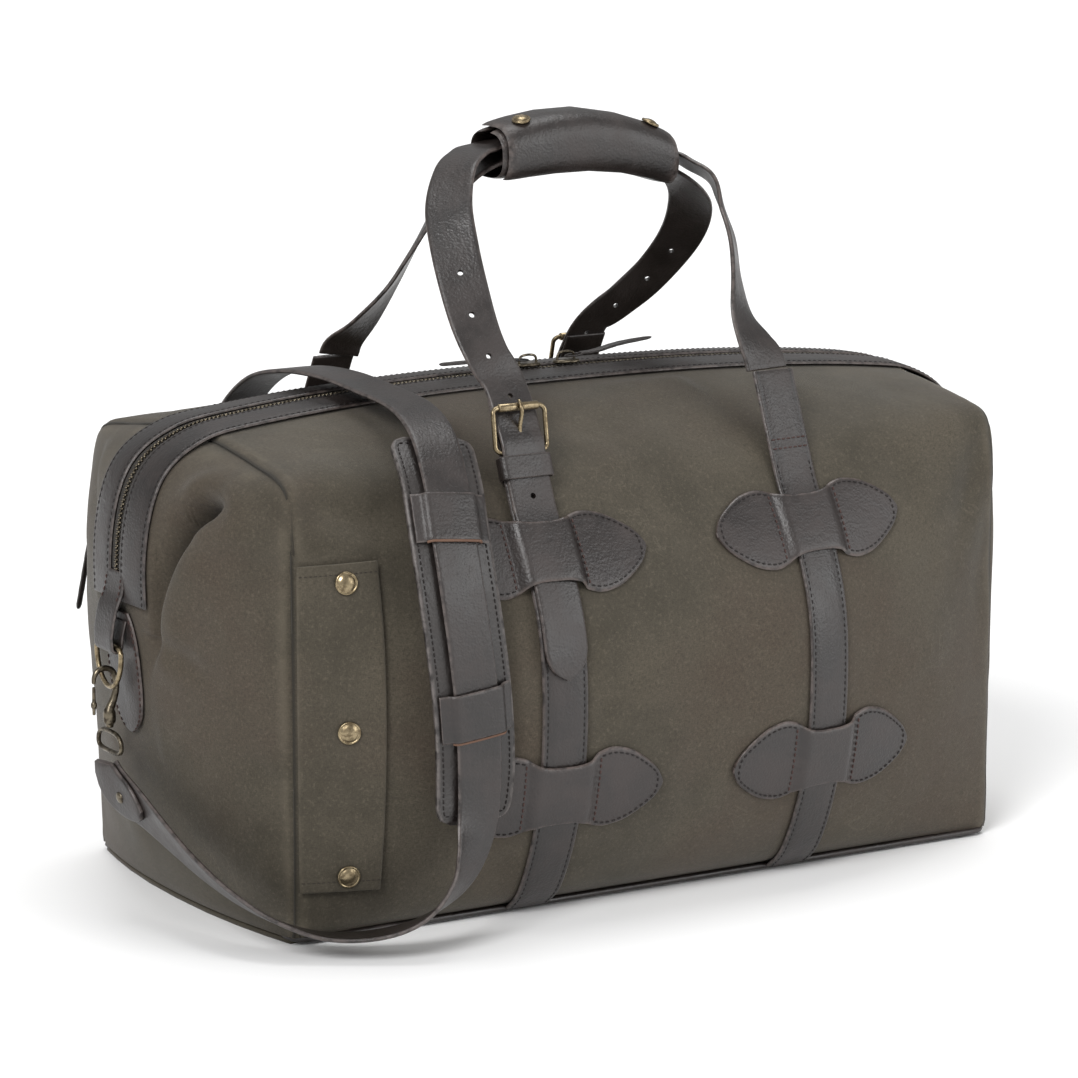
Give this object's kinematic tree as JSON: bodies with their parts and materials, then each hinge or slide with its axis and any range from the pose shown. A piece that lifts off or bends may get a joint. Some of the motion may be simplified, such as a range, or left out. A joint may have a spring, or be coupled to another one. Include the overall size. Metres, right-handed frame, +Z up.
{
  "type": "duffel bag",
  "caption": "Boxy waxed canvas duffel bag with leather strap handles, buckles, a grip wrap, a top zip, a snapped pocket flap and a clipped, padded shoulder strap.",
  "frame": {"origin": "middle of the flat bottom, on the surface that the bag stands on", "axes": "+X along the bag's length, towards the right end as seen from the front; -Y is the front; +Z up"},
  "size_m": [0.7362, 0.4756, 0.5411],
  "materials": {
    "canvas": "waxed cotton canvas, blotchy and matt with a slight wax sheen",
    "leather": "dark brown oiled leather, semi-matt",
    "pad": "dark brown leather, stitched round its edge",
    "brass": "antique brass, satin",
    "dark_brass": "darkened antique brass, satin",
    "zip": "woven zip tape with an antique brass chain"
  },
  "bodies": {
    "root": {"back_buckle_frame": "brass", "back_facing": "leather", "back_keeper": "leather", "back_left_base_strap": "leather", "back_left_lower_patch": "leather", "back_left_upper_patch": "leather", "back_panel": "canvas", "back_pocket_zip": "zip", "back_right_base_strap": "leather", "back_right_lower_patch": "leather", "back_right_upper_patch": "leather", "back_tail_strap": "leather", "bottom_panel": "canvas", "bottom_piping": "leather", "front_buckle_frame": "brass", "front_facing": "leather", "front_keeper": "leather", "front_left_base_strap": "leather", "front_left_lower_patch": "leather", "front_left_upper_patch": "leather", "front_panel": "canvas", "front_right_base_strap": "leather", "front_right_lower_patch": "leather", "front_right_upper_patch": "leather", "front_tail_strap": "leather", "left_end_panel": "canvas", "left_end_tab": "leather", "left_hook_eye": "dark_brass", "right_end_panel": "canvas", "right_end_tab": "leather", "right_hook_eye": "dark_brass", "shoulder_pad": "pad", "shoulder_strap": "leather", "zip_tape": "zip"},
    "handle_front": {"front_handle": "leather", "grip_wrap": "leather"},
    "wrap_flap": {"wrap_flap": "leather", "wrap_snap_left": "brass", "wrap_snap_right": "brass"},
    "handle_back": {"back_handle": "leather"},
    "front_roller": {"front_roller": "brass"},
    "back_roller": {"back_roller": "brass"},
    "front_tongue": {"front_tongue": "brass"},
    "back_tongue": {"back_tongue": "brass"},
    "left_slider": {"left_zip_slider": "brass"},
    "right_slider": {"right_zip_slider": "brass"},
    "left_pull": {"left_zip_pull": "leather"},
    "right_pull": {"right_zip_pull": "leather"},
    "back_slider": {"back_pocket_slider": "brass"},
    "back_pull": {"back_pocket_pull": "leather"},
    "pocket_flap": {"pocket_flap": "canvas", "flap_snap_lower": "brass", "flap_snap_middle": "brass", "flap_snap_upper": "brass"},
    "left_ring": {"left_d_ring": "brass"},
    "right_ring": {"right_d_ring": "brass"},
    "left_hook": {"left_hook": "dark_brass"},
    "right_hook": {"right_hook": "dark_brass"},
    "left_gate": {"left_hook_gate": "dark_brass"},
    "right_gate": {"right_hook_gate": "dark_brass"}
  },
  "joints": [
    {"name": "front_handle_swing", "type": "hinge", "parent": "root", "child": "handle_front", "pos_m": [0, -0.128, 0.362], "axis": [1, 0, 0], "range_deg": [0, 90]},
    {"name": "back_handle_swing", "type": "hinge", "parent": "root", "child": "handle_back", "pos_m": [0, 0.12, 0.356], "axis": [-1, 0, 0], "range_deg": [0, 90]},
    {"name": "wrap_flap_open", "type": "hinge", "parent": "handle_front", "child": "wrap_flap", "pos_m": [0, -0.0275, 0.503], "axis": [1, 0, 0], "range_deg": [0, 100]},
    {"name": "front_roller_spin", "type": "hinge", "parent": "root", "child": "front_roller", "pos_m": [-0.109, -0.1426, 0.35512], "axis": [1, 0, 0], "continuous": true},
    {"name": "back_roller_spin", "type": "hinge", "parent": "root", "child": "back_roller", "pos_m": [0.109, 0.13531, 0.35088], "axis": [1, 0, 0], "continuous": true},
    {"name": "front_tongue_lift", "type": "hinge", "parent": "root", "child": "front_tongue", "pos_m": [-0.109, -0.15538, 0.32469], "axis": [1, 0, 0], "range_deg": [0, 75]},
    {"name": "back_tongue_lift", "type": "hinge", "parent": "root", "child": "back_tongue", "pos_m": [0.109, 0.15158, 0.32217], "axis": [-1, 0, 0], "range_deg": [0, 75]},
    {"name": "left_slider_slide", "type": "slide", "parent": "root", "child": "left_slider", "axis": [-1, 0, 0], "range_m": [0, 0.06]},
    {"name": "right_slider_slide", "type": "slide", "parent": "root", "child": "right_slider", "axis": [1, 0, 0], "range_m": [0, 0.1]},
    {"name": "left_pull_lift", "type": "hinge", "parent": "left_slider", "child": "left_pull", "pos_m": [-0.016, 0, 0.3605], "axis": [0, 1, 0], "range_deg": [0, 85]},
    {"name": "right_pull_lift", "type": "hinge", "parent": "right_slider", "child": "right_pull", "pos_m": [0.016, 0, 0.3605], "axis": [0, -1, 0], "range_deg": [0, 85]},
    {"name": "back_slider_slide", "type": "slide", "parent": "root", "child": "back_slider", "axis": [0, 0, -1], "range_m": [0, 0.17]},
    {"name": "back_pull_swing", "type": "hinge", "parent": "back_slider", "child": "back_pull", "pos_m": [-0.28302, 0.16601, 0.254], "axis": [0.9616, 0.2745, 0], "range_deg": [0, 130]},
    {"name": "pocket_flap_open", "type": "hinge", "parent": "root", "child": "pocket_flap", "pos_m": [-0.2885, -0.1553, 0.15], "axis": [0, 0, -1], "range_deg": [0, 110]},
    {"name": "left_ring_swing", "type": "hinge", "parent": "root", "child": "left_ring", "pos_m": [-0.3535, 0, 0.189], "axis": [0, 1, 0], "range_deg": [0, 8]},
    {"name": "right_ring_swing", "type": "hinge", "parent": "root", "child": "right_ring", "pos_m": [0.3535, 0, 0.189], "axis": [0, -1, 0], "range_deg": [0, 8]},
    {"name": "left_hook_swivel", "type": "hinge", "parent": "root", "child": "left_hook", "pos_m": [-0.354, 0, 0.143], "axis": [0, 0, 1], "range_deg": [-20, 20]},
    {"name": "right_hook_swivel", "type": "hinge", "parent": "root", "child": "right_hook", "pos_m": [0.354, 0, 0.143], "axis": [0, 0, 1], "range_deg": [-20, 20]},
    {"name": "left_gate_slide", "type": "slide", "parent": "left_hook", "child": "left_gate", "axis": [0, 0, -1], "range_m": [0, 0.006], "stiffness_N_per_m": 40, "springref_m": -0.006},
    {"name": "right_gate_slide", "type": "slide", "parent": "right_hook", "child": "right_gate", "axis": [0, 0, -1], "range_m": [0, 0.006], "stiffness_N_per_m": 40, "springref_m": -0.006}
  ]
}
